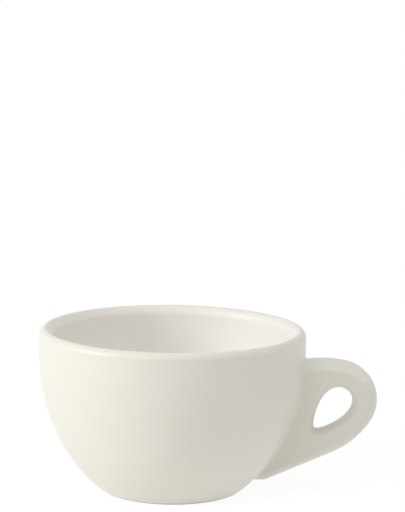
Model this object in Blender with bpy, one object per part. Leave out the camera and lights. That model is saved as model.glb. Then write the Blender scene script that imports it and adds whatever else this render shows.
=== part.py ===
"""Cappuccino cup in thick glazed stoneware: a turned bowl with a cast ear handle luted to it.

Metres, +Z up. The cup stands on the plane z = 0, its handle points along +X, and it is the same on both
sides of the XZ plane. The origin lies under the middle of the cup's whole length, so the bowl's own axis
is a little to -X. Pieces hang on an empty on that axis, and their meshes are measured from it.
"""

import math

import bmesh
import bpy
import numpy as np
from mathutils import Vector

# Bowl: a turned wall, upright under the rim and elliptical below the shoulder, on a recessed foot
CUP_HEIGHT = 0.0565
RIM_RADIUS = 0.0465
RIM_THICKNESS = 0.0046
SHOULDER_DROP = 0.0085  # the wall is upright from the rim down to here
FOOT_RADIUS = 0.0251
FOOT_EDGE = 0.0010  # rounding of the foot ring's two edges
FOOT_WIDTH = 0.0042
FOOT_RECESS = 0.0018
RECESS_SLOPE = 0.0016  # how far the recess narrows from its mouth to its ceiling
FLOOR_THICKNESS = 0.0050
INNER_FULLNESS = 2.5  # exponent of the inner wall's superellipse: 2 is an ellipse, more is fuller

# Handle: an ear-shaped plate with a crowned outer edge, a thumb rest on top and an egg-shaped finger hole
HANDLE_PROJECTION = 0.0256  # beyond the rim's outside
HANDLE_DROP = 0.01025  # from the rim down to the handle's top
TOP_RADIUS = 0.0430
TOP_START = math.radians(80)  # where the loop's arc runs over into the flatter one on top of it
LOOP_RADIUS = 0.0143
LOWER_RADIUS = 0.0297
LOWER_START = math.radians(-33)  # where the loop's arc runs over into the flatter one below it
TOE_HEIGHT = 0.0023
TOE_LENGTH = 0.0053  # level stretch between the bowl's wall and the rising tail
TOE_FILLET = 0.0030
LOOP_THICKNESS = 0.0098
ROOT_THICKNESS = 0.0112
CROWN_DEPTH = 0.0038  # how far in from the outline the edge is rounded
CROWN_FULLNESS = 1.75
REST_FULLNESS = 0.4  # power of the section on top, a thumb rest that meets the sides at an edge
REST_DROP = 0.0052  # it is whole down to here below the handle's top
REST_FADE = 0.0050  # and runs out into the round crown over this
HOLE_LENGTH = 0.0178
HOLE_WIDTH = 0.0101  # half-way along the hole
HOLE_TAPER = 0.36  # share of that width which the hole gains to its upper end and loses to its lower one
HOLE_LEAN = math.radians(51.5)
HOLE_SET_BACK = 0.0161  # from the handle's end back to the hole's middle
HOLE_DROP = 0.0182  # from the handle's top down to it
HOLE_EDGE = 0.0032  # how far out from the hole its rim is rounded
HOLE_LAND = 0.0016  # flat left between the two rounded rims, inside the hole

# Luting: the handle stands off the wall by a film of slip, wiped to a fillet all round
SLIP_FILM = 0.0003
SLIP_FILLET = 0.0009
SLIP_LIP = 0.0002  # thickness left at the fillet's feathered edges

# Facets
TURN_STEPS = 72
WALL_STEPS = 14
LIP_STEPS = 8
EDGE_STEPS = 3
ARC_STEP = math.radians(9)
LINE_STEPS = 7
HOLE_STEPS = 64
LIMB_STEPS = 10
SEAM_STEPS = 26
SHARP_ANGLE = math.radians(40)
HALVINGS = 40  # for the hole's rim along a line
SEAM_ROUNDS = 6  # for the seam's place on the round wall

# One satin ivory glaze covers all three pieces; the colour is linear
GLAZE_COLOUR = (0.84, 0.82, 0.75, 1)
GLAZE_ROUGHNESS = 0.42

SHOULDER_HEIGHT = CUP_HEIGHT - SHOULDER_DROP
BELLY_DEPTH = SHOULDER_HEIGHT / math.sqrt(1 - (FOOT_RADIUS / RIM_RADIUS) ** 2)
LIP_RADIUS = RIM_THICKNESS / 2
INNER_RADIUS = RIM_RADIUS - RIM_THICKNESS
FLOOR_HEIGHT = FOOT_RECESS + FLOOR_THICKNESS
HANDLE_REACH = RIM_RADIUS + HANDLE_PROJECTION
HANDLE_TOP = CUP_HEIGHT - HANDLE_DROP
BOWL_X = (RIM_RADIUS - HANDLE_REACH) / 2  # puts the origin under the middle of the cup's length


def clear_scene():
    for obj in list(bpy.data.objects):
        bpy.data.objects.remove(obj)


def glaze(name):
    material = bpy.data.materials.new(name)
    material.use_nodes = True
    shader = material.node_tree.nodes["Principled BSDF"]
    shader.inputs["Base Color"].default_value = GLAZE_COLOUR
    shader.inputs["Roughness"].default_value = GLAZE_ROUGHNESS
    shader.inputs["Metallic"].default_value = 0.0
    return material


def add_mesh(name, mesh, axis):
    obj = bpy.data.objects.new(name, mesh)
    bpy.context.scene.collection.objects.link(obj)
    obj.parent = axis
    return obj


def turn(obj):
    """Spins a profile in the XZ plane once round the object's Z axis."""
    screw = obj.modifiers.new("Turn", "SCREW")
    screw.axis = "Z"
    screw.angle = math.tau
    screw.steps = TURN_STEPS
    screw.render_steps = TURN_STEPS
    screw.use_merge_vertices = True
    screw.merge_threshold = 1e-6
    screw.use_smooth_shade = True


def profile_mesh(name, points):
    mesh = bpy.data.meshes.new(name)
    edges = [(i, i + 1) for i in range(len(points) - 1)]
    mesh.from_pydata([(r, 0, z) for r, z in points], edges, [])
    return mesh


def arc(centre, radius, start, end, steps):
    """Points on a circle in the XZ plane from angle start to angle end, both included."""
    return [
        (centre[0] + radius * math.cos(a), centre[1] + radius * math.sin(a))
        for a in np.linspace(start, end, steps + 1)
    ]


def wall_radius(z):
    """Outside of the bowl at height z."""
    fall = np.clip((SHOULDER_HEIGHT - z) / BELLY_DEPTH, 0, 1)
    return RIM_RADIUS * np.sqrt(1 - fall**2)


def wall_slope(z):
    """Gain of the outside radius per metre of height."""
    fall = np.clip((SHOULDER_HEIGHT - z) / BELLY_DEPTH, 0, 1)
    return RIM_RADIUS * fall / (BELLY_DEPTH * np.sqrt(1 - fall**2))


def inner_wall():
    """From the middle of the floor up to the shoulder, on a superellipse."""
    depth = SHOULDER_HEIGHT - FLOOR_HEIGHT
    points = []
    for t in np.linspace(0, math.pi / 2, WALL_STEPS + 1):
        out = math.sin(t) ** (2 / INNER_FULLNESS)
        down = math.cos(t) ** (2 / INNER_FULLNESS)
        points.append((INNER_RADIUS * out, SHOULDER_HEIGHT - depth * down))
    return points


def outer_wall(bottom):
    """From the shoulder down the belly to the height bottom."""
    lowest = math.asin((SHOULDER_HEIGHT - bottom) / BELLY_DEPTH)
    return [
        (RIM_RADIUS * math.cos(t), SHOULDER_HEIGHT - BELLY_DEPTH * math.sin(t))
        for t in np.linspace(0, lowest, WALL_STEPS + 1)
    ]


def foot_ring():
    """From the belly round the foot's outer edge, across its flat face and up into the recess."""
    quarter = math.pi / 2
    lean = math.atan(wall_slope(0))
    outer = FOOT_RADIUS - FOOT_EDGE * math.tan((quarter - lean) / 2)
    inner = FOOT_RADIUS - FOOT_WIDTH + FOOT_EDGE
    ceiling = FOOT_RADIUS - FOOT_WIDTH - RECESS_SLOPE
    return [
        *outer_wall(FOOT_EDGE * (1 - math.sin(lean))),
        *arc((outer, FOOT_EDGE), FOOT_EDGE, -lean, -quarter, EDGE_STEPS)[1:],
        *arc((inner, FOOT_EDGE), FOOT_EDGE, -quarter, -math.pi, EDGE_STEPS),
        (ceiling, FOOT_RECESS),
        (0, FOOT_RECESS),
    ]


def make_bowl(axis):
    """The whole section, from the middle of the floor over the rim to the middle of the recess."""
    rim = arc((RIM_RADIUS - LIP_RADIUS, CUP_HEIGHT - LIP_RADIUS), LIP_RADIUS, math.pi, 0, LIP_STEPS)
    points = inner_wall() + rim + foot_ring()
    bowl = add_mesh("cup_body", profile_mesh("cup_body", points), axis)
    bowl.data.materials.append(glaze("cup_body_glaze"))
    turn(bowl)


def make_seat(axis):
    """The bowl's outside as a filled solid, grown by the film of slip: it trims the handle's root."""
    points = [(0, CUP_HEIGHT), (RIM_RADIUS + SLIP_FILM, CUP_HEIGHT)]
    for r, z in outer_wall(0):
        slope = wall_slope(z)
        stand_off = SLIP_FILM / math.sqrt(1 + slope**2)
        points.append((r + stand_off, z - slope * stand_off))
    points.append((0, points[-1][1]))
    seat = add_mesh("handle_seat", profile_mesh("handle_seat", points), axis)
    seat.hide_render = True
    seat.display_type = "WIRE"
    turn(seat)
    return seat


def tangent_angle(point, centre, radius):
    """Angle on a circle of the tangent point seen from a point to its lower left."""
    across = Vector(point) - Vector(centre)
    return math.atan2(across.y, across.x) + math.acos(radius / across.length)


def line(start, end, steps=LINE_STEPS):
    """Points from start towards end, without the end."""
    return [tuple(Vector(start).lerp(Vector(end), i / steps)) for i in range(steps)]


def along(angle):
    """Unit vector in the XZ plane."""
    return np.array([math.cos(angle), math.sin(angle)])


def outline_centres():
    """Centres of the three arcs that run into each other round the loop: top, loop and lower."""
    drop = (TOP_RADIUS - LOOP_RADIUS) * along(TOP_START)
    top = np.array([HANDLE_REACH - LOOP_RADIUS - drop[0], HANDLE_TOP - TOP_RADIUS])
    loop = top + drop
    return top, loop, loop - (LOWER_RADIUS - LOOP_RADIUS) * along(LOWER_START)


def handle_outline():
    """The handle's free edge from its toe, sunk in the bowl, round the loop to its top, sunk in the rim."""
    top, loop, lower = outline_centres()
    toe = (wall_radius(TOE_HEIGHT) + TOE_LENGTH, TOE_HEIGHT)
    tail_end = tangent_angle(toe, lower, LOWER_RADIUS)
    slope = tail_end + math.pi / 2
    set_back = TOE_FILLET * math.tan(slope / 2)
    bend = (toe[0] - set_back, TOE_HEIGHT + TOE_FILLET)
    sunk_toe = (wall_radius(TOE_HEIGHT) - RIM_THICKNESS, TOE_HEIGHT)
    sunk_top = math.acos((INNER_RADIUS - top[0]) / TOP_RADIUS)
    bend_arc = arc(bend, TOE_FILLET, -math.pi / 2, slope - math.pi / 2, EDGE_STEPS)
    lower_arc = arc(lower, LOWER_RADIUS, tail_end, LOWER_START, steps_for(LOWER_START - tail_end))
    loop_arc = arc(loop, LOOP_RADIUS, LOWER_START, TOP_START, steps_for(TOP_START - LOWER_START))
    top_arc = arc(top, TOP_RADIUS, TOP_START, sunk_top, 2 * LINE_STEPS)
    return np.array(
        [
            *line(sunk_toe, bend_arc[0], EDGE_STEPS),
            *bend_arc[:-1],
            *line(bend_arc[-1], lower_arc[0]),
            *lower_arc[:-1],
            *loop_arc[:-1],
            *top_arc,
        ]
    )


def steps_for(angle):
    return max(2, round(angle / ARC_STEP))


def hole_axes():
    """Middle of the finger hole, with the unit vectors up along it and across it."""
    middle = np.array([HANDLE_REACH - HOLE_SET_BACK, HANDLE_TOP - HOLE_DROP])
    return middle, along(HOLE_LEAN), along(HOLE_LEAN + math.pi / 2)


def hole_outline():
    """The finger hole, closed: an ellipse that tapers towards its lower end."""
    middle, up, across = hole_axes()
    turn = np.linspace(0, math.tau, HOLE_STEPS + 1)[:, None]
    taper = 1 + HOLE_TAPER * np.cos(turn)
    return middle + (HOLE_LENGTH * np.cos(turn) * up + HOLE_WIDTH * np.sin(turn) * taper * across) / 2


def in_hole(points):
    middle, up, across = hole_axes()
    u = np.clip(2 * (points - middle) @ up / HOLE_LENGTH, -1, 1)
    v = 2 * (points - middle) @ across / HOLE_WIDTH
    return np.abs(v) < (1 + HOLE_TAPER * u) * np.sqrt(1 - u**2)


def edge_distance(points, outline):
    """Distance from each point to the nearest stretch of an open outline."""
    start, end = outline[:-1], outline[1:]
    run = end - start
    offset = points[..., None, :] - start
    t = np.clip((offset * run).sum(-1) / (run**2).sum(-1), 0, 1)
    return np.sqrt(((offset - t[..., None] * run) ** 2).sum(-1)).min(-1)


def soft_step(share):
    share = np.clip(share, 0, 1)
    return share**2 * (3 - 2 * share)


def half_thickness(points, outline):
    """Half of the handle's thickness over points of its middle plane."""
    out = np.clip((points[..., 0] - RIM_RADIUS) / HANDLE_PROJECTION, 0, 1)
    full = (ROOT_THICKNESS + (LOOP_THICKNESS - ROOT_THICKNESS) * out) / 2
    from_edge = np.clip(1 - edge_distance(points, outline) / CROWN_DEPTH, 0, 1)
    round_crown = (1 - from_edge**CROWN_FULLNESS) ** (1 / CROWN_FULLNESS)
    rest = soft_step((points[..., 1] - HANDLE_TOP + REST_DROP) / REST_FADE + 1)
    crown = round_crown + rest * ((1 - from_edge) ** REST_FULLNESS - round_crown)
    from_hole = np.clip(1 - edge_distance(points, hole_outline()) / HOLE_EDGE, 0, 1)
    eased = (full - HOLE_LAND / 2) * (1 - np.sqrt(1 - from_hole**2))
    return (full - eased) * crown


def hole_rim(centre, targets):
    """Where the straight lines from the hole's centre to the targets leave the hole."""
    inside, outside = np.zeros(len(targets)), np.ones(len(targets))
    for _ in range(HALVINGS):
        middle = (inside + outside) / 2
        within = in_hole(centre + (targets - centre) * middle[:, None])
        inside, outside = np.where(within, middle, inside), np.where(within, outside, middle)
    return centre + (targets - centre) * outside[:, None]


def handle_grid(outline):
    """Points of the middle plane from the finger hole out to the border, with half the thickness there.

    The border is the outline and, behind it in the bowl, a straight line that the root's trim cuts away.
    """
    border = np.concatenate([outline, line(outline[-1], outline[0], 2 * LINE_STEPS)[1:]])
    rim = hole_rim(hole_axes()[0], border)
    share = (1 - np.cos(np.linspace(0, math.pi, LIMB_STEPS + 1))) / 2
    plane = rim[:, None] + (border - rim)[:, None] * share[None, :, None]
    half = half_thickness(plane, outline)
    half[: len(outline), -1] = 0
    return plane, half


def finished_mesh(name, built):
    """A smooth, outward mesh with its own glaze from an edited one."""
    bmesh.ops.recalc_face_normals(built, faces=built.faces)
    mesh = bpy.data.meshes.new(name)
    built.to_mesh(mesh)
    built.free()
    mesh.shade_smooth()
    mesh.set_sharp_from_angle(angle=SHARP_ANGLE)
    mesh.materials.append(glaze(f"{name}_glaze"))
    return mesh


def make_handle(axis, seat):
    """Two crowned faces that meet along the outline and round the finger hole, trimmed to the bowl."""
    outline = handle_outline()
    plane, half = handle_grid(outline)
    built = bmesh.new()
    near, far = [], []
    for k, (row, depths) in enumerate(zip(plane, half)):
        near.append([built.verts.new((x, -h, z)) for (x, z), h in zip(row, depths)])
        far.append([built.verts.new((x, h, z)) for (x, z), h in zip(row[:-1], depths[:-1])])
        x, z = row[-1]
        on_outline = k < len(outline)
        far[k].append(near[k][-1] if on_outline else built.verts.new((x, depths[-1], z)))
    for k in range(len(near)):
        after = (k + 1) % len(near)
        for i in range(LIMB_STEPS):
            built.faces.new((near[k][i], near[after][i], near[after][i + 1], near[k][i + 1]))
            built.faces.new((far[k][i], far[k][i + 1], far[after][i + 1], far[after][i]))
        built.faces.new((near[k][0], far[k][0], far[after][0], near[after][0]))
        end_corners = dict.fromkeys((near[k][-1], near[after][-1], far[after][-1], far[k][-1]))
        if len(end_corners) > 2:
            built.faces.new(tuple(end_corners))

    handle = add_mesh("handle", finished_mesh("handle", built), axis)
    trim = handle.modifiers.new("Root", "BOOLEAN")
    trim.operation = "DIFFERENCE"
    trim.object = seat


def unit(vectors):
    return vectors / np.linalg.norm(vectors, axis=-1, keepdims=True)


def root_top():
    """Where the arc of the handle's top runs into the bowl's wall, and the arc's normal there."""
    centre = outline_centres()[0]
    z = HANDLE_TOP
    for _ in range(SEAM_ROUNDS):
        z = centre[1] + math.sqrt(TOP_RADIUS**2 - (wall_radius(z) - centre[0]) ** 2)
    return z, ((wall_radius(z) - centre[0]) / TOP_RADIUS, 0, (z - centre[1]) / TOP_RADIUS)


def root_seam(outline):
    """Points round the handle's root on the bowl's wall, with the normals of the wall and of the handle."""
    ease = (1 - np.cos(np.linspace(0, math.pi, SEAM_STEPS + 1))) / 2
    top, top_normal = root_top()
    z = top + (TOE_HEIGHT - top) * ease
    radius = wall_radius(z)

    def half_at(x, height):
        return half_thickness(np.stack([x, height], -1), outline)

    x = radius
    for _ in range(SEAM_ROUNDS):
        y = half_at(x, z)
        y[[0, -1]] = 0
        x = np.sqrt(radius**2 - y**2)
    step = CROWN_DEPTH / 1000
    by_x = (half_at(x + step, z) - half_at(x - step, z)) / (2 * step)
    by_z = (half_at(x, z + step) - half_at(x, z - step)) / (2 * step)
    handle_normal = np.stack([-by_x, np.ones_like(x), -by_z], -1)
    handle_normal[0] = top_normal
    handle_normal[-1] = (0, 0, -1)
    wall_normal = np.stack([x / radius, y / radius, -wall_slope(z)], -1)
    points = np.stack([x, y, z], -1)
    mirror = np.array([1, -1, 1])
    both = [np.concatenate([a, a[-2:0:-1] * mirror]) for a in (points, wall_normal, handle_normal)]
    return both[0], unit(both[1]), unit(both[2])


def make_slip(axis):
    """A hollow fillet in the corner between the wall and the handle, closed round the root."""
    seam, wall_normal, handle_normal = root_seam(handle_outline())
    run = unit(np.roll(seam, -1, 0) - np.roll(seam, 1, 0))
    down_wall = unit(np.cross(wall_normal, run))
    down_wall *= np.sign((down_wall * handle_normal).sum(-1, keepdims=True))
    off_wall = unit(np.cross(handle_normal, run))
    off_wall *= np.sign((off_wall * wall_normal).sum(-1, keepdims=True))
    lean = 1 + (wall_normal * handle_normal).sum(-1, keepdims=True)
    corner = seam + SLIP_FILM * (wall_normal + handle_normal) / lean

    section = [(0, 0), (SLIP_FILLET, 0)]
    hollow = SLIP_FILLET - SLIP_LIP
    for a in np.linspace(0, math.pi / 2, 2 * EDGE_STEPS - 1):
        section.append((SLIP_LIP + hollow * (1 - math.sin(a)), SLIP_LIP + hollow * (1 - math.cos(a))))
    section.append((0, SLIP_FILLET))

    built = bmesh.new()
    rings = [
        [built.verts.new(corner[k] + a * down_wall[k] + b * off_wall[k]) for a, b in section]
        for k in range(len(seam))
    ]
    for k, ring in enumerate(rings):
        after = rings[(k + 1) % len(rings)]
        for i in range(len(section)):
            j = (i + 1) % len(section)
            built.faces.new((ring[i], ring[j], after[j], after[i]))
    add_mesh("luting_slip", finished_mesh("luting_slip", built), axis)


def main():
    clear_scene()
    axis = bpy.data.objects.new("bowl_axis", None)
    axis.location = (BOWL_X, 0, 0)
    bpy.context.scene.collection.objects.link(axis)
    make_bowl(axis)
    make_handle(axis, make_seat(axis))
    make_slip(axis)


main()
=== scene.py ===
"""A cappuccino cup of ivory-glazed stoneware on a white table, in soft light from the left.

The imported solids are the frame, in metres, with +Z up and the handle along +X. The bowl and the handle are
shaped again over their solids, as finely as the eye needs. The slip that joins them shows only as the soft
hollow round the handle's root, so it is part of the handle's skin here.
"""

import math

import bmesh
import bpy
import numpy as np
from mathutils import Matrix, Vector
from mathutils.geometry import delaunay_2d_cdt


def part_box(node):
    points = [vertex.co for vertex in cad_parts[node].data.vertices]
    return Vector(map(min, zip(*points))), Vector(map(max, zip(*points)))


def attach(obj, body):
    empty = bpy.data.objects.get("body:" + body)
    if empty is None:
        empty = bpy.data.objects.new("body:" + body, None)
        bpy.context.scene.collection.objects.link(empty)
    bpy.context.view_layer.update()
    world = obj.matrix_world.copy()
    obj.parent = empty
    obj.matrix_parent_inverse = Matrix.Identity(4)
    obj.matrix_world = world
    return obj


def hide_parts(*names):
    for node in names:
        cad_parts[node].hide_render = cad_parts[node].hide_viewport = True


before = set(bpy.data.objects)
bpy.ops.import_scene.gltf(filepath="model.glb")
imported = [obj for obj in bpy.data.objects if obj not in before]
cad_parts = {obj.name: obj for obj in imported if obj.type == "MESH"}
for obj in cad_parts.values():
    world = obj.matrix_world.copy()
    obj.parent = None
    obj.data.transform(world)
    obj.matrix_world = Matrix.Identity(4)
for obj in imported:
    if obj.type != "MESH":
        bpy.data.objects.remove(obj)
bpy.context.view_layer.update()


# Bowl. One thick wall of white stoneware, turned in a plaster mould together with its foot ring and the
# recess under it. An ivory glaze that fires satin is poured into it, where it stays thicker and whiter, and
# over its outside. Its extra whiteness inside, up over the lip's inner side, is painted light on the shaded
# inside. The foot's face is wiped bare, so that the cup doesn't stick to the kiln shelf.
bowl_low, bowl_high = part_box("cup_body")
AXIS_X = (bowl_low.x + bowl_high.x) / 2
RIM_RADIUS = (bowl_high.y - bowl_low.y) / 2
CUP_HEIGHT = bowl_high.z
RIM_THICKNESS = 0.0046
LIP_WIDTH = 0.0020  # from the outside to the rim's crest
LIP_DROP = 0.0023  # how far down the outside the lip is rounded
LIP_EASE = 0.0034  # how far down the inside the lip eases into the wall
LIP_FULLNESS = 1.8  # 2 would round the lip as an ellipse
SHOULDER_HEIGHT = CUP_HEIGHT - 0.0085  # the wall is upright from here up to the rim
FOOT_RADIUS = 0.0251  # where the belly's curve would meet the table
FOOT_EDGE = 0.0010  # radius of the foot ring's two edges
FOOT_WIDTH = 0.0042
FOOT_RECESS = 0.0018
RECESS_SLOPE = 0.0016
RECESS_CORNER = 0.0009
FLOOR_THICKNESS = 0.0050
INNER_FULLNESS = 2.5
BELLY_DEPTH = SHOULDER_HEIGHT / math.sqrt(1 - (FOOT_RADIUS / RIM_RADIUS) ** 2)
INNER_RADIUS = RIM_RADIUS - RIM_THICKNESS
CREST_RADIUS = RIM_RADIUS - LIP_WIDTH
FLOOR_HEIGHT = FOOT_RECESS + FLOOR_THICKNESS
TURN_STEPS = 288
WALL_STEPS = 72
EDGE_STEPS = 10
MERGE_DISTANCE = 1e-6

IVORY = (0.85, 0.82, 0.735, 1)
IVORY_DEEP = (0.86, 0.835, 0.76, 1)
# On the bowl's lip the thin glaze's colour is also painted shade, dimming the lip's highlight.
IVORY_THIN_AND_PAINTED_SHADE = (0.80, 0.775, 0.715, 1)
# The poured glaze is whiter partly as painted light on the shaded inside.
IVORY_POURED_AND_PAINTED_LIGHT = (0.926, 0.903, 0.857, 1)
BARE_CLAY = (0.70, 0.645, 0.55, 1)
CLAY_GRIT = (0.62, 0.56, 0.47, 1)
GLAZE_ROUGHNESS = 0.40
CLAY_ROUGHNESS = 0.88
GLAZE_THICKNESS = 0.00012
GLAZE_LINE = 0.0005  # the bare foot ends this far above the table
LINE_SOFTNESS = 0.3  # share of that height over which it ends
LINE_WANDER = 0.0004
# That band of the lip also takes the darker colour as painted shade.
LIP_THINNING_AND_SHADE = 0.0020  # how far below the rim's crest the glaze has drawn thin

CLOUD_SCALE, SWELL_SCALE, MOTTLE_SCALE = 34.0, 95.0, 420.0  # all scales are in lumps per metre
DIMPLE_SCALE, GRIT_SCALE = 760.0, 2600.0
SMOOTH_DETAIL, FINE_DETAIL = 1.0, 3.0
NOISE_MIDDLE = 0.5
CLOUD_DEPTH, MOTTLE_DEPTH = 1.2, 0.5  # how much each adds to the glaze's look of depth
DEPTH_RANGE = (0.1, 0.9)
GRIT_RANGE = (0.2, 0.8)
# On the bowl's lip these shares also lay on the painted shade.
THIN_TINT, THIN_MOTTLE = 0.45, 0.3  # share of the thin glaze's colour on an edge
CLOUD_ROUGHNESS, MOTTLE_ROUGHNESS, THIN_ROUGHNESS = 0.08, 0.06, 0.04  # what each changes in the gloss
DIMPLE_HEIGHT, SWELL_HEIGHT, GRIT_HEIGHT = 0.000010, 0.000045, 0.00006
BUMP_DISTANCE = 1.0  # the heights are in metres


def unit(vectors):
    return vectors / np.linalg.norm(vectors, axis=-1, keepdims=True)


def arc(centre, radius, start, end, steps):
    """Points on a circle in the XZ plane from angle start to angle end, both included."""
    angles = np.linspace(start, end, steps + 1)
    return np.stack([centre[0] + radius * np.cos(angles), centre[1] + radius * np.sin(angles)], -1)


def fillet(corner, along_a, along_b, radius, steps):
    """The round that eases the corner between two lines which leave it in the directions given."""
    corner, a, b = np.array(corner), unit(np.array(along_a)), unit(np.array(along_b))
    half = math.acos(a @ b) / 2
    centre = corner + unit(a + b) * radius / math.sin(half)
    first = corner + a * radius / math.tan(half) - centre
    last = corner + b * radius / math.tan(half) - centre
    start = math.atan2(first[1], first[0])
    swing = math.atan2(first[0] * last[1] - first[1] * last[0], first @ last)
    return arc(centre, radius, start, start + swing, steps)


def wall_radius(z):
    """Outside of the bowl at height z."""
    fall = np.clip((SHOULDER_HEIGHT - z) / BELLY_DEPTH, 0, 1)
    return RIM_RADIUS * np.sqrt(1 - fall**2)


def wall_slope(z):
    """Gain of the outside radius per metre of height."""
    fall = np.clip((SHOULDER_HEIGHT - z) / BELLY_DEPTH, 0, 1)
    return RIM_RADIUS * fall / (BELLY_DEPTH * np.sqrt(1 - fall**2))


def foot_section():
    """From the middle of the recess out over its corner, across the foot's face and round its outer edge."""
    quarter = math.pi / 2
    lean = math.atan(wall_slope(0))
    outer = FOOT_RADIUS - FOOT_EDGE * math.tan((quarter - lean) / 2)
    inner = FOOT_RADIUS - FOOT_WIDTH
    ceiling = (inner - RECESS_SLOPE, FOOT_RECESS)
    mouth = (inner, FOOT_EDGE)
    down_slope = (mouth[0] - ceiling[0], mouth[1] - ceiling[1])
    return np.concatenate(
        [
            [(0, FOOT_RECESS)],
            fillet(ceiling, (-1, 0), down_slope, RECESS_CORNER, EDGE_STEPS),
            arc((inner + FOOT_EDGE, FOOT_EDGE), FOOT_EDGE, -math.pi, -quarter, EDGE_STEPS),
            arc((outer, FOOT_EDGE), FOOT_EDGE, -quarter, -lean, EDGE_STEPS),
        ]
    )


def belly_section():
    """From the foot's edge up the outside to the shoulder."""
    foot_top = FOOT_EDGE * (1 - math.sin(math.atan(wall_slope(0))))
    rise = np.linspace(math.asin((SHOULDER_HEIGHT - foot_top) / BELLY_DEPTH), 0, WALL_STEPS + 1)[1:]
    return np.stack([RIM_RADIUS * np.cos(rise), SHOULDER_HEIGHT - BELLY_DEPTH * np.sin(rise)], -1)


def lip_section():
    """Over the rim: a round on the outside, a crest, and a longer ease down the inside."""
    turn = np.linspace(0, math.pi / 2, 2 * EDGE_STEPS + 1)
    out, up = np.cos(turn).clip(0) ** (2 / LIP_FULLNESS), np.sin(turn) ** (2 / LIP_FULLNESS)
    lip = np.stack([CREST_RADIUS + LIP_WIDTH * out, CUP_HEIGHT - LIP_DROP * (1 - up)], -1)
    inward = CREST_RADIUS - (RIM_THICKNESS - LIP_WIDTH) * up
    ease = np.stack([inward, CUP_HEIGHT - LIP_EASE * (1 - out)], -1)[1:]
    return np.concatenate([lip, ease])


def inside_section():
    """From the shoulder down the inside to the middle of the floor."""
    turn = np.linspace(math.pi / 2, 0, WALL_STEPS + 1)
    out, down = np.sin(turn), np.cos(turn).clip(0)
    depth = SHOULDER_HEIGHT - FLOOR_HEIGHT
    curve = np.stack(
        [
            INNER_RADIUS * out ** (2 / INNER_FULLNESS),
            SHOULDER_HEIGHT - depth * down ** (2 / INNER_FULLNESS),
        ],
        -1,
    )
    curve[-1, 0] = 0
    return curve


class Wire:
    """An output in a node tree. Arithmetic on it adds Math nodes to that tree."""

    def __init__(self, tree, socket=None):
        self.tree, self.socket = tree, socket

    def node(self, kind, settings=(), sockets=(), output=0):
        """Adds a node: first its settings, then the values or wires of its sockets."""
        made = self.tree.nodes.new(kind)
        for name, value in dict(settings).items():
            setattr(made, name, value)
        for key, value in dict(sockets).items():
            if isinstance(value, Wire):
                self.tree.links.new(value.socket, made.inputs[key])
            else:
                made.inputs[key].default_value = value
        return Wire(self.tree, made.outputs[output])

    def math(self, operation, first, second=0.0):
        return self.node("ShaderNodeMath", {"operation": operation}, {0: first, 1: second})

    def __add__(self, other):
        return self.math("ADD", self, other)

    def __sub__(self, other):
        return self.math("SUBTRACT", self, other)

    def __mul__(self, other):
        return self.math("MULTIPLY", self, other)

    def __truediv__(self, other):
        return self.math("DIVIDE", self, other)

    def __mod__(self, other):
        return self.math("MODULO", self, other)

    def __radd__(self, other):
        return self.math("ADD", other, self)

    def __rsub__(self, other):
        return self.math("SUBTRACT", other, self)

    def __rmul__(self, other):
        return self.math("MULTIPLY", other, self)

    def step(self, start, end):
        """0 up to start and 1 from end, with a soft rise between them."""
        sockets = {"Value": self, "From Min": start, "From Max": end}
        return self.node("ShaderNodeMapRange", {"interpolation_type": "SMOOTHSTEP"}, sockets)

    def noise(self, scale, detail=2.0):
        """Cloudy noise from 0 to 1 over a coordinate, with scale in lumps per metre."""
        return self.node("ShaderNodeTexNoise", (), {"Vector": self, "Scale": scale, "Detail": detail})

    def blend(self, first, second):
        """A colour between two others by this factor."""
        return self.node("ShaderNodeMix", {"data_type": "RGBA"}, {0: self, 6: first, 7: second}, 2)


def feed(socket, wire):
    wire.tree.links.new(wire.socket, socket)


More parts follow.
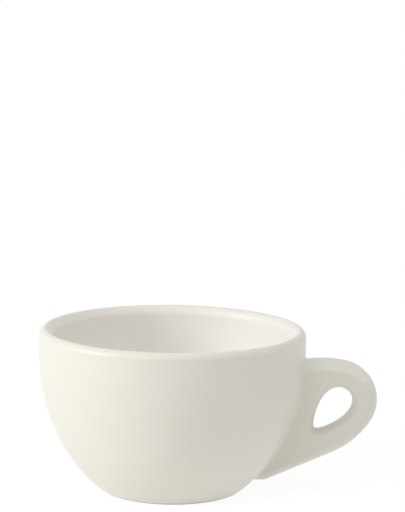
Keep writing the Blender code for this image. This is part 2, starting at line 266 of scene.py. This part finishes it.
def ivory_glaze(name, bare_foot=False):
    """Satin glaze: cloudy in depth, greyer where it drew thin on an edge, darker on the bowl's lip as painted
    shade, whiter inside the bowl partly as painted light, and dimpled like a peel.
    """
    material = bpy.data.materials.new(name)
    material.use_nodes = True
    start, shader = Wire(material.node_tree), material.node_tree.nodes["Principled BSDF"].inputs
    place = start.node("ShaderNodeTexCoord", output="Object")
    thin_and_lip_shade = start.node("ShaderNodeAttribute", {"attribute_name": "thin_glaze_and_lip_shade"}, output="Fac")
    poured_and_painted_light = start.node("ShaderNodeAttribute", {"attribute_name": "poured_glaze_and_painted_light"}, output="Fac")
    cloud = place.noise(CLOUD_SCALE)
    mottle = place.noise(MOTTLE_SCALE, FINE_DETAIL)
    cloud_swing, mottle_swing = cloud - NOISE_MIDDLE, mottle - NOISE_MIDDLE

    depth = cloud_swing * CLOUD_DEPTH + mottle_swing * MOTTLE_DEPTH + NOISE_MIDDLE
    # Inside the bowl the whiter poured glaze is partly painted light.
    colour = poured_and_painted_light.blend(depth.step(*DEPTH_RANGE).blend(IVORY, IVORY_DEEP), IVORY_POURED_AND_PAINTED_LIGHT)
    # On the bowl's lip this darker colour is painted shade as well as thin glaze.
    colour = (thin_and_lip_shade * (THIN_TINT + mottle * THIN_MOTTLE)).blend(colour, IVORY_THIN_AND_PAINTED_SHADE)
    roughness = GLAZE_ROUGHNESS + cloud_swing * CLOUD_ROUGHNESS + mottle_swing * MOTTLE_ROUGHNESS
    roughness = roughness + thin_and_lip_shade * THIN_ROUGHNESS
    dimple, swell = place.noise(DIMPLE_SCALE, SMOOTH_DETAIL), place.noise(SWELL_SCALE, SMOOTH_DETAIL)
    height = dimple * DIMPLE_HEIGHT + swell * SWELL_HEIGHT
    if bare_foot:
        level = place.node("ShaderNodeSeparateXYZ", (), {0: place}, "Z") + mottle_swing * LINE_WANDER
        bare = 1 - level.step(GLAZE_LINE * (1 - LINE_SOFTNESS), GLAZE_LINE * (1 + LINE_SOFTNESS))
        grit = place.noise(GRIT_SCALE, FINE_DETAIL)
        colour = bare.blend(colour, grit.step(*GRIT_RANGE).blend(BARE_CLAY, CLAY_GRIT))
        roughness = roughness + bare * (CLAY_ROUGHNESS - GLAZE_ROUGHNESS)
        height = height + bare * (grit * GRIT_HEIGHT - GLAZE_THICKNESS)

    feed(shader["Base Color"], colour)
    feed(shader["Roughness"], roughness)
    bump = start.node("ShaderNodeBump", (), {"Distance": BUMP_DISTANCE, "Height": height})
    feed(shader["Normal"], bump)
    return material


def sampled(section, value, kind, index):
    """What the section holds at its point of that index."""
    settings = {"data_type": kind, "domain": "POINT"}
    sockets = {"Geometry": section, "Value": value, "Index": index}
    return section.node("GeometryNodeSampleIndex", settings, sockets)


def stored(geometry, name, value):
    """The geometry with a number kept on its points under a name."""
    settings = {"data_type": "FLOAT", "domain": "POINT"}
    sockets = {"Geometry": geometry, "Name": name, "Value": value}
    return geometry.node("GeometryNodeStoreNamedAttribute", settings, sockets)


def turned_bowl_tree():
    """Spins a section in the XZ plane once round an upright axis, and marks the rim for thin glaze with
    painted shade.
    """
    tree = bpy.data.node_groups.new("turned_bowl", "GeometryNodeTree")
    for name, kind in (
        ("Section", "NodeSocketGeometry"),
        ("Turn Steps", "NodeSocketInt"),
        ("Axis", "NodeSocketVector"),
        ("Rim Height", "NodeSocketFloat"),
        ("Lip Thinning And Shade", "NodeSocketFloat"),
        ("Glaze", "NodeSocketMaterial"),
    ):
        tree.interface.new_socket(name, in_out="INPUT", socket_type=kind)
    tree.interface.new_socket("Bowl", in_out="OUTPUT", socket_type="NodeSocketGeometry")
    given = {socket.name: Wire(tree, socket) for socket in tree.nodes.new("NodeGroupInput").outputs}
    section, steps = given["Section"], given["Turn Steps"]
    new = section.node

    count = new("GeometryNodeAttributeDomainSize", (), {"Geometry": section}, "Point Count")
    index = new("GeometryNodeInputIndex")
    place = new("GeometryNodeInputPosition")
    glaze = new("GeometryNodeInputNamedAttribute", {"data_type": "FLOAT"}, {"Name": "poured_and_painted_light"})
    on_section = sampled(section, place, "FLOAT_VECTOR", index % count)
    poured_and_painted_light = sampled(section, glaze, "FLOAT", index % count)
    angle = index.math("FLOOR", index / count) / steps * math.tau
    about_z = {"rotation_type": "Z_AXIS"}
    turned = new("ShaderNodeVectorRotate", about_z, {"Vector": on_section, "Angle": angle})
    centred = new("ShaderNodeVectorMath", {"operation": "ADD"}, {0: turned, 1: given["Axis"]})

    sheet = new("GeometryNodeMeshGrid", (), {"Vertices X": steps + 1, "Vertices Y": count})
    bowl = new("GeometryNodeSetPosition", (), {"Geometry": sheet, "Position": centred})
    bowl = stored(bowl, "poured_glaze_and_painted_light", poured_and_painted_light)
    bowl = new("GeometryNodeMergeByDistance", (), {"Geometry": bowl, "Distance": MERGE_DISTANCE})
    bowl = new("GeometryNodeSetShadeSmooth", (), {"Geometry": bowl})
    # The band below the crest is marked for the thin glaze, which on the lip also paints shade.
    below_rim = given["Rim Height"] - new("ShaderNodeSeparateXYZ", (), {0: place}, "Z")
    bowl = stored(bowl, "thin_glaze_and_lip_shade", 1 - (below_rim / given["Lip Thinning And Shade"]).step(0.0, 1.0))
    bowl = new("GeometryNodeRealizeInstances", (), {"Geometry": bowl})
    bowl = new("GeometryNodeSetMaterial", (), {"Geometry": bowl, "Material": given["Glaze"]})
    feed(tree.nodes.new("NodeGroupOutput").inputs["Bowl"], bowl)
    return tree


def new_object(name, data):
    """An object in the scene, at the origin."""
    made = bpy.data.objects.new(name, data)
    bpy.context.scene.collection.objects.link(made)
    return made


def mark(mesh, name, values):
    """Keeps a number for each of the mesh's points under a name."""
    mesh.attributes.new(name, "FLOAT", "POINT").data.foreach_set("value", values.astype(np.float32))


def section_object(name, points):
    """A thin line of points in the XZ plane, for a tree to spin.

    Its points hold how much of the poured glaze lies there, which is all of it past the lip's inner ease. Its
    extra whiteness is painted light on the shaded inside.
    """
    mesh = bpy.data.meshes.new(name)
    mesh.from_pydata([(r, 0, z) for r, z in points], [(i, i + 1) for i in range(len(points) - 1)], [])
    past_crest = np.arange(len(points)) > points[:, 1].argmax()
    inward = np.clip((CREST_RADIUS - points[:, 0]) / (CREST_RADIUS - INNER_RADIUS), 0, 1)
    mark(mesh, "poured_and_painted_light", inward * past_crest)
    return new_object(name, mesh)


def grow(obj, tree, sizes):
    """Runs a tree on an object with the named sizes, and keeps the result as its plain mesh."""
    modifier = obj.modifiers.new(tree.name, "NODES")
    modifier.node_group = tree
    for socket in tree.interface.items_tree:
        if socket.name in sizes:
            modifier[socket.identifier] = sizes[socket.name]
    grown = obj.evaluated_get(bpy.context.evaluated_depsgraph_get())
    mesh = bpy.data.meshes.new_from_object(grown)
    obj.modifiers.remove(modifier)
    obj.data = mesh
    mesh.name = obj.name


bowl_section = np.concatenate([foot_section(), belly_section(), lip_section(), inside_section()])
bowl = section_object("bowl", bowl_section)
grow(
    bowl,
    turned_bowl_tree(),
    {
        "Turn Steps": TURN_STEPS,
        "Axis": (AXIS_X, 0, 0),
        "Rim Height": CUP_HEIGHT,
        "Lip Thinning And Shade": LIP_THINNING_AND_SHADE,
        "Glaze": ivory_glaze("bowl_glaze", bare_foot=True),
    },
)
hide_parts("cup_body")
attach(bowl, "root")


# Handle. A solid ear of the same clay, cast by itself in a two-part mould and stuck to the leather-hard
# bowl with slip. The joint is sponged to a soft hollow all round before the cup is glazed, so handle and
# slip are one skin.
handle_low, handle_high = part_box("handle")
HANDLE_REACH = handle_high.x - AXIS_X  # lengths along X are measured from the bowl's axis
HANDLE_TOP = handle_high.z
TOE_HEIGHT = handle_low.z
TOP_RADIUS = 0.0430
TOP_START = math.radians(80)
LOOP_RADIUS = 0.0143
LOWER_RADIUS = 0.0297
LOWER_START = math.radians(-33)
TOE_LENGTH = 0.0053
TOE_FILLET = 0.0030
LOOP_THICKNESS = 0.0098
ROOT_THICKNESS = 0.0112
CROWN_DEPTH = 0.0035  # how far in from its outline the handle's edge is rounded
CROWN_FULLNESS = 1.75  # 2 would round it as an ellipse
REST_RIDGE = 0.40  # share of the thickness in the rounded ridge along the thumb rest
REST_ROUND = 0.22  # share of the crown's depth that rounds it
REST_DROP = 0.0052  # how far the thumb rest reaches below the handle's top
REST_FADE = 0.0050  # the height over which it then fades out
REST_EASING = 0.04  # share of the crown's depth that eases the thumb rest's edge
HOLE_LENGTH = 0.0178
HOLE_WIDTH = 0.0101
HOLE_TAPER = 0.36
HOLE_LEAN = math.radians(51.5)
HOLE_MIDDLE = np.array([HANDLE_REACH - 0.0161, HANDLE_TOP - 0.0182])
HOLE_EDGE = 0.0032  # how far out from the hole its rim is eased
HOLE_LAND = 0.0016  # the straight wall left in the hole
ROOT_HOLLOW = 0.0011  # radius of the sponged joint
TOE_HOLLOW = 0.0026
ROOT_SINK = 0.00001  # how far the joint's edge runs under the bowl's skin
POINT_SPACING = 0.0004  # along the handle's edges
FACE_SPACING = 0.0008  # over its flat sides
RING_GAP = POINT_SPACING / 8
BORDER_GAP = 0.00001
PLANE_TOLERANCE = 1e-9
INSIDE_EDGES = 1  # asks for the triangles inside the given edges
FEWEST_LINE_STEPS = 2
FEWEST_ARC_STEPS = 4
CROWN_RINGS = 14
CREASE_RINGS = np.array([0.96, 1.05])  # at the thumb rest's edge, in crown depths
HOLE_RINGS = 9
HOLLOW_RINGS = 9
HOLE_WALL_STEPS = 3
HOLE_POINTS = 120
FINE_HOLE_POINTS = 4 * HOLE_POINTS  # to measure distances from
JOINT_ROUNDS = 8
EDGE_THINNING = 0.0016  # how far in from the crest and the hole the glaze has drawn thin
EDGE_THINNESS = 0.5  # beside 1 on the bowl's rim


def line(start, end):
    """Points from start to end at the handle's spacing, both included."""
    start, end = np.array(start), np.array(end)
    steps = max(FEWEST_LINE_STEPS, math.ceil(np.linalg.norm(end - start) / POINT_SPACING))
    return start + (end - start) * np.linspace(0, 1, steps + 1)[:, None]


def even_arc(centre, radius, start, end):
    """An arc at the handle's spacing."""
    steps = max(FEWEST_ARC_STEPS, math.ceil(abs(end - start) * radius / POINT_SPACING))
    return arc(centre, radius, start, end, steps)


def joined(*stretches):
    """One line of points from stretches that each start where the last one ended."""
    return np.concatenate([stretches[0]] + [stretch[1:] for stretch in stretches[1:]])


def along(angle):
    """Unit vector in the XZ plane."""
    return np.array([math.cos(angle), math.sin(angle)])


def angle_of(vector):
    return math.atan2(vector[1], vector[0])


def soft_rise(share):
    """A share from 0 to 1 with level ends."""
    return share**2 * (3 - 2 * share)


def top_joint(top):
    """Centre of the round that eases the handle's top into the wall, and the wall's normal there."""
    z = HANDLE_TOP
    for _ in range(JOINT_ROUNDS):
        normal = unit(np.array([1, -wall_slope(z)]))
        x = wall_radius(z) + ROOT_HOLLOW * normal[0]
        centre = np.array([x, top[1] + math.sqrt((TOP_RADIUS + ROOT_HOLLOW) ** 2 - (x - top[0]) ** 2)])
        z = centre[1] - ROOT_HOLLOW * normal[1]
    return centre, normal


def handle_outline():
    """The handle's edge in its middle plane, from the joint at its toe round the loop to the joint on top."""
    drop = (TOP_RADIUS - LOOP_RADIUS) * along(TOP_START)
    top = np.array([HANDLE_REACH - LOOP_RADIUS - drop[0], HANDLE_TOP - TOP_RADIUS])
    loop = top + drop
    lower = loop - (LOWER_RADIUS - LOOP_RADIUS) * along(LOWER_START)
    wall_toe = (wall_radius(TOE_HEIGHT), TOE_HEIGHT)
    toe = np.array([wall_toe[0] + TOE_LENGTH, TOE_HEIGHT])
    away = toe - lower
    tail_end = angle_of(away) + math.acos(LOWER_RADIUS / np.linalg.norm(away))
    tail = lower + LOWER_RADIUS * along(tail_end)
    hollow_toe = fillet(wall_toe, (-wall_slope(TOE_HEIGHT), -1), (1, 0), TOE_HOLLOW, EDGE_STEPS)
    bend = fillet(toe, (-1, 0), tail - toe, TOE_FILLET, EDGE_STEPS)
    joint, wall_normal = top_joint(top)
    return joined(
        hollow_toe,
        line(hollow_toe[-1], bend[0]),
        bend,
        line(bend[-1], tail),
        even_arc(lower, LOWER_RADIUS, tail_end, LOWER_START),
        even_arc(loop, LOOP_RADIUS, LOWER_START, TOP_START),
        even_arc(top, TOP_RADIUS, TOP_START, angle_of(joint - top)),
        arc(joint, ROOT_HOLLOW, angle_of(top - joint), angle_of(wall_normal) - math.pi, EDGE_STEPS),
    )


def hole_outline(steps):
    """The egg-shaped finger hole as a ring of points, without a last one on the first."""
    turn = np.linspace(0, math.tau, steps + 1)[:-1, None]
    width = HOLE_WIDTH * (1 + HOLE_TAPER * np.cos(turn))
    up, across = along(HOLE_LEAN), along(HOLE_LEAN + math.pi / 2)
    return HOLE_MIDDLE + (HOLE_LENGTH * np.cos(turn) * up + width * np.sin(turn) * across) / 2


def distance_to(points, outline):
    """Distance from each point to the nearest stretch of an open line."""
    start, run = outline[:-1], np.diff(outline, axis=0)
    nearest = np.full(len(points), np.inf)
    for a, step in zip(start, run):
        offset = points - a
        t = np.clip(offset @ step / (step @ step), 0, 1)
        nearest = np.minimum(nearest, np.linalg.norm(offset - t[:, None] * step, axis=1))
    return nearest


def within(points, border):
    """Which points a closed border holds, by the crossings of a line to the right."""
    held = np.zeros(len(points), bool)
    for (x0, z0), (x1, z1) in zip(border, np.roll(border, -1, 0)):
        if z0 != z1:
            spans = (points[:, 1] > z0) != (points[:, 1] > z1)
            held ^= spans & (points[:, 0] < x0 + (points[:, 1] - z0) * (x1 - x0) / (z1 - z0))
    return held


def hole_distance(points):
    """Distance outside the finger hole. Negative inside it."""
    ring = hole_outline(FINE_HOLE_POINTS)
    away = distance_to(points, np.concatenate([ring, ring[:1]]))
    return np.where(within(points, ring), -away, away)


def crown_share(points, outline):
    """How far the handle's edge has risen to its full thickness, from 0 on the outline to 1."""
    depth = distance_to(points, outline) / CROWN_DEPTH
    from_edge = np.clip(1 - depth, 0, 1)
    round_crown = (1 - from_edge**CROWN_FULLNESS) ** (1 / CROWN_FULLNESS)
    rest = np.clip((points[:, 1] - HANDLE_TOP + REST_DROP) / REST_FADE + 1, 0, 1)
    return round_crown + soft_rise(rest) * (bevelled_crown(depth) - round_crown)


def bevelled_crown(depth):
    """The same along the thumb rest: a rounded ridge with a straight bevel down to the handle's side."""
    gap = 1 - depth
    eased = 1 - (gap + np.sqrt(gap**2 + REST_EASING**2)) / 2  # a depth that stops at 1 without a corner
    ridge = np.sqrt(1 - np.clip(1 - eased / REST_ROUND, 0, 1) ** 2)
    return (1 - REST_RIDGE) * eased.clip(0) + REST_RIDGE * ridge


def half_thickness(points, crown):
    """Half of the handle's thickness over points of its middle plane, without the joint's hollow."""
    out = np.clip((points[:, 0] - RIM_RADIUS) / (HANDLE_REACH - RIM_RADIUS), 0, 1)
    full = (ROOT_THICKNESS + (LOOP_THICKNESS - ROOT_THICKNESS) * soft_rise(out)) / 2
    from_hole = np.clip(1 - hole_distance(points) / HOLE_EDGE, 0, 1)
    eased = (full - HOLE_LAND / 2) * (1 - np.sqrt(1 - from_hole**2))
    return (full - eased) * crown


def root_line(outline):
    """Where the handle's sides run under the bowl's skin, from the top joint down to the toe."""
    reach = np.linalg.norm(outline[-1] - outline[0])
    height = np.linspace(outline[-1, 1], outline[0, 1], math.ceil(reach / POINT_SPACING))[1:-1]
    wall = np.stack([wall_radius(height), height], -1)
    half = half_thickness(wall, crown_share(wall, outline))
    wall[:, 0] = np.sqrt((wall[:, 0] - ROOT_SINK * np.sqrt(1 + wall_slope(height) ** 2)) ** 2 - half**2)
    return wall


def side_normals(outline, closed):
    """Unit normals on the left of a line of points."""
    if closed:
        run = np.roll(outline, -1, 0) - np.roll(outline, 1, 0)
    else:
        run = np.gradient(outline, axis=0)
    return unit(np.stack([-run[:, 1], run[:, 0]], -1))


def rings(outline, closed, depths):
    """Copies of an outline moved to its left by each depth."""
    return np.concatenate([outline + side_normals(outline, closed) * depth for depth in depths])


def ring_shares(steps, fullness=2):
    """Shares of a round's depth, closest together where it starts and turns most."""
    turn = np.linspace(0, math.pi / 2, steps + 1)[1:]
    return 1 - np.cos(turn).clip(0) ** (2 / fullness)


def clear_of(points, others, gap):
    """The points that lie further than the gap from all the others."""
    away = [np.min(np.hypot(*(others - point).T)) > gap for point in points]
    return points[np.array(away)]


def plane_points(outline, root, hole):
    """Points over the handle's middle plane, in rings along its edges and an even grid between them."""
    border = np.concatenate([outline, root])
    crown_depths = np.append(ring_shares(CROWN_RINGS, CROWN_FULLNESS), CREASE_RINGS)
    crown = rings(outline, False, CROWN_DEPTH * crown_depths)
    lip = rings(hole[::-1], True, HOLE_EDGE * ring_shares(HOLE_RINGS))
    hollow = clear_of(rings(root, False, ROOT_HOLLOW * ring_shares(HOLLOW_RINGS)), crown, RING_GAP)

    steps = [np.arange(a, b, FACE_SPACING) for a, b in zip(border.min(0), border.max(0))]
    face = np.stack(np.meshgrid(*steps), -1).reshape(-1, 2)
    for edge, depth in ((outline, CROWN_DEPTH), (root, ROOT_HOLLOW)):
        face = face[distance_to(face, edge) > depth + FACE_SPACING / 2]
    face = face[hole_distance(face) > HOLE_EDGE + FACE_SPACING / 2]

    points = np.concatenate([crown, lip, hollow, face])
    points = points[within(points, border) & (hole_distance(points) > 0)]
    return points[(distance_to(points, outline) > BORDER_GAP) & (distance_to(points, root) > BORDER_GAP)]


def handle_plane(outline, root, hole):
    """Triangles over the handle's middle plane, and where each point of its edges came to lie in them."""
    border = np.concatenate([outline, root])
    points = np.concatenate([border, hole, plane_points(outline, root, hole)])
    loops = [np.arange(len(border)), len(border) + np.arange(len(hole))]
    edges = [(int(i), int(j)) for loop in loops for i, j in zip(loop, np.roll(loop, -1))]
    corners = [Vector(point) for point in points]
    placed, _, faces, origins, _, _ = delaunay_2d_cdt(corners, edges, [], INSIDE_EDGES, PLANE_TOLERANCE)
    placed = np.array(placed)
    middles = np.array([placed[list(face)].mean(0) for face in faces])
    kept = within(middles, border) & (hole_distance(middles) > 0)
    given = {origin[0]: i for i, origin in enumerate(origins) if origin}
    return placed, [face for face, keep in zip(faces, kept) if keep], given


def handle_side(plane, outline):
    """Where the points of the middle plane lie on the handle's side, with the joint's hollow: X and Y."""
    crown = crown_share(plane, outline)
    half = half_thickness(plane, crown)
    radius, slope = wall_radius(plane[:, 1]), wall_slope(plane[:, 1])
    off_wall = (np.hypot(plane[:, 0], half) - radius) / np.sqrt(1 + slope**2) + ROOT_SINK
    into_hollow = np.clip(1 - off_wall / ROOT_HOLLOW, 0, 1)
    flare = ROOT_HOLLOW * (1 - np.sqrt(1 - into_hollow**2)) * crown
    round_wall = np.arctan2(half, plane[:, 0])
    return AXIS_X + plane[:, 0] - flare * np.sin(round_wall), half + flare * np.cos(round_wall)


def bridge(made, rows, steps):
    """Faces along rows of points that each lead from the near side to the far side."""
    for one, two in zip(rows, rows[1:]):
        for s in range(steps):
            made.faces.new(list(dict.fromkeys((one[s], one[s + 1], two[s + 1], two[s]))))


def close_joint(made, joint, near, far):
    """The hidden face under the root, which leaves the joint's shading alone."""
    bridge(made, [(near[i], far[i]) for i in joint], 1)
    for i, j in zip(joint, joint[1:]):
        for side in (near, far):
            made.edges.get((side[i], side[j])).smooth = False


def close_hole(made, rim, near, far):
    """The finger hole's wall."""
    rows = []
    for i in rim:
        a, b = near[i], far[i]
        shares = np.arange(1, HOLE_WALL_STEPS) / HOLE_WALL_STEPS
        rows.append([a, *(made.verts.new(a.co.lerp(b.co, share)) for share in shares), b])
    bridge(made, rows + rows[:1], HOLE_WALL_STEPS)


def handle_mesh(name):
    """Two crowned sides that meet along the outline, with the finger hole's wall and the joint's hollow."""
    outline, hole = handle_outline(), hole_outline(HOLE_POINTS)
    root = root_line(outline)
    plane, faces, given = handle_plane(outline, root, hole)
    x, y = handle_side(plane, outline)

    made = bmesh.new()
    near = [made.verts.new((a, -b, c)) for a, b, c in zip(x, y, plane[:, 1])]
    crest = {given[k] for k in range(len(outline))}
    far = [near[i] if i in crest else made.verts.new((x[i], y[i], plane[i, 1])) for i in range(len(plane))]
    for face in faces:
        made.faces.new([near[i] for i in face])
        made.faces.new([far[i] for i in reversed(face)])
    border = len(outline) + len(root)
    close_joint(made, [given[k] for k in range(len(outline) - 1, border)] + [given[0]], near, far)
    close_hole(made, [given[border + k] for k in range(len(hole))], near, far)
    bmesh.ops.recalc_face_normals(made, faces=made.faces)
    mesh = bpy.data.meshes.new(name)
    made.to_mesh(mesh)
    made.free()
    mesh.shade_smooth()
    thin_glaze_and_lip_shade(mesh, outline)
    return mesh


def thin_glaze_and_lip_shade(mesh, outline):
    """Marks the handle's crest and the hole's rim, where the glaze draws thin. The painted shade that the
    same mark carries lies on the bowl's lip alone.
    """
    place = np.array([(v.co.x - AXIS_X, v.co.z) for v in mesh.vertices])
    from_edge = np.minimum(distance_to(place, outline), np.abs(hole_distance(place)))
    mark(mesh, "thin_glaze_and_lip_shade", EDGE_THINNESS * np.clip(1 - from_edge / EDGE_THINNING, 0, 1) ** 2)


handle = new_object("handle_and_joint", handle_mesh("handle_and_joint"))
handle.data.materials.append(ivory_glaze("handle_glaze"))
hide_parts("handle", "luting_slip")
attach(handle, "root")


# Table. A plain white sheet under the cup, lit from below too, as for a catalogue. It shows white round a
# faint shadow by the cup, and all white further off.
HALF_TABLE = 3.0
WHITE = (1, 1, 1, 1)
SEEN_WHITE = 1.0  # strength at which a light that is seen shows white
TABLE_WHITE = (0.65, 0.65, 0.65, 1)
TABLE_LIGHT = 0.295  # what comes through the sheet to the cup
TABLE_GLOW = 0.89  # what the eye sees of the sheet near the cup before any light falls on it
TABLE_SHARE = (0.16, 0.16, 0.16, 1)  # and what the light adds
SHADOW_REACH = 0.14  # from the bowl's axis
WHITE_REACH = 0.45


def seen_directly(start):
    """1 for what the eye, a gloss or glass sees, and 0 for light that only bounces."""
    names = ("Is Camera Ray", "Is Glossy Ray", "Is Transmission Ray")
    camera_ray, glossy_ray, glass_ray = (start.node("ShaderNodeLightPath", output=name) for name in names)
    seen = camera_ray + glossy_ray + glass_ray
    return seen.math("MINIMUM", seen, 1.0)


def white_light(start, kind, strength):
    """White light of that strength, from a surface or from the room."""
    return start.node(kind, (), {"Color": WHITE, "Strength": strength})


def table_white():
    """A sheet that shows nearly white to the eye. To the cup it is a pale grey that glows."""
    material = bpy.data.materials.new("table_white")
    material.use_nodes = True
    tree = material.node_tree
    tree.nodes.remove(tree.nodes["Principled BSDF"])
    start = Wire(tree)
    lit = start.node("ShaderNodeBsdfDiffuse", (), {"Color": TABLE_SHARE})
    glow = white_light(start, "ShaderNodeEmission", TABLE_GLOW)
    near_cup = start.node("ShaderNodeAddShader", (), {0: glow, 1: lit})
    far_off = white_light(start, "ShaderNodeEmission", SEEN_WHITE)
    place = start.node("ShaderNodeTexCoord", output="Object")
    sockets = {0: place, 1: (AXIS_X, 0, 0)}
    away = start.node("ShaderNodeVectorMath", {"operation": "DISTANCE"}, sockets, "Value")
    sockets = {0: away.step(SHADOW_REACH, WHITE_REACH), 1: near_cup, 2: far_off}
    shown = start.node("ShaderNodeMixShader", (), sockets)
    white = start.node("ShaderNodeBsdfDiffuse", (), {"Color": TABLE_WHITE})
    lit_through = white_light(start, "ShaderNodeEmission", TABLE_LIGHT)
    bounce = start.node("ShaderNodeAddShader", (), {0: white, 1: lit_through})
    mixed = start.node("ShaderNodeMixShader", (), {0: seen_directly(start), 1: bounce, 2: shown})
    feed(tree.nodes["Material Output"].inputs["Surface"], mixed)
    return material


table_corners = [(HALF_TABLE * a, HALF_TABLE * b, 0) for a, b in ((-1, -1), (1, -1), (1, 1), (-1, 1))]
table_mesh = bpy.data.meshes.new("table")
table_mesh.from_pydata(table_corners, [], [(0, 1, 2, 3)])
table_mesh.materials.append(table_white())
new_object("table", table_mesh)


# Studio. A pale room with four soft boxes: the key on the left, a fill high on the right, one above the
# camera's left and one overhead. The bowl keeps the key off the root of the handle.
ROOM_LIGHT = 0.312
LAMP_DISTANCE = 1.25
KEY_POWER = 6.5
KEY_SIZE = 0.5
KEY_SIDE = math.radians(-72)  # round from the front, to the left
KEY_RISE = math.radians(23)
FILL_POWER = 2.6
FILL_SIDE = math.radians(90)
FRONT_POWER = 2.9
FRONT_SIDE = math.radians(-35)
HIGH_RISE = math.radians(45)
TOP_POWER = 2.5
TOP_RISE = math.radians(86)
SOFT_SIZE = 0.8


def white_room():
    """A world that shows white to the eye and lights the cup softly."""
    world = bpy.data.worlds.new("white_room")
    world.use_nodes = True
    tree = world.node_tree
    tree.nodes.remove(tree.nodes["Background"])
    start = Wire(tree)
    lit = white_light(start, "ShaderNodeBackground", ROOM_LIGHT)
    seen = white_light(start, "ShaderNodeBackground", SEEN_WHITE)
    mixed = start.node("ShaderNodeMixShader", (), {0: seen_directly(start), 1: lit, 2: seen})
    feed(tree.nodes["World Output"].inputs["Surface"], mixed)
    return world


def soft_box(name, power, size, side, rise):
    """A square lamp that faces the bowl from a direction round it and above it."""
    lamp_data = bpy.data.lights.new(name, "AREA")
    lamp_data.energy = power
    lamp_data.size = size
    lamp = new_object(name, lamp_data)
    level = math.cos(rise)
    to_lamp = Vector((math.sin(side) * level, -math.cos(side) * level, math.sin(rise)))
    lamp.location = Vector((AXIS_X, 0, CUP_HEIGHT / 2)) + to_lamp * LAMP_DISTANCE
    lamp.rotation_euler = to_lamp.to_track_quat("Z", "Y").to_euler()


bpy.context.scene.world = white_room()
soft_box("key_box", KEY_POWER, KEY_SIZE, KEY_SIDE, KEY_RISE)
soft_box("fill_box", FILL_POWER, SOFT_SIZE, FILL_SIDE, HIGH_RISE)
soft_box("front_box", FRONT_POWER, SOFT_SIZE, FRONT_SIDE, HIGH_RISE)
soft_box("top_box", TOP_POWER, SOFT_SIZE, 0, TOP_RISE)


# Camera. A long lens in front of the bowl and a little above its rim, with the handle to the right. It is
# dipped, turned and rolled by small angles, and takes in the cup low in an upright picture.
CAMERA_PLACE = Vector((AXIS_X, -0.58292, 0.16782))
CAMERA_PAN = math.radians(0.975)  # to the right of straight ahead
CAMERA_DIP = math.radians(8.398)
CAMERA_ROLL = math.radians(0.92)
CAMERA_LENS = 119.46  # mm, on a sensor 36 mm along the picture's longer side

camera_data = bpy.data.cameras.new("photo_camera")
camera_data.lens = CAMERA_LENS
camera = new_object("photo_camera", camera_data)
aim = Matrix.Rotation(-CAMERA_PAN, 4, "Z") @ Matrix.Rotation(math.pi / 2 - CAMERA_DIP, 4, "X")
camera.matrix_world = Matrix.Translation(CAMERA_PLACE) @ aim @ Matrix.Rotation(CAMERA_ROLL, 4, "Z")
bpy.context.scene.camera = camera
bpy.context.scene.view_settings.view_transform = "Standard"
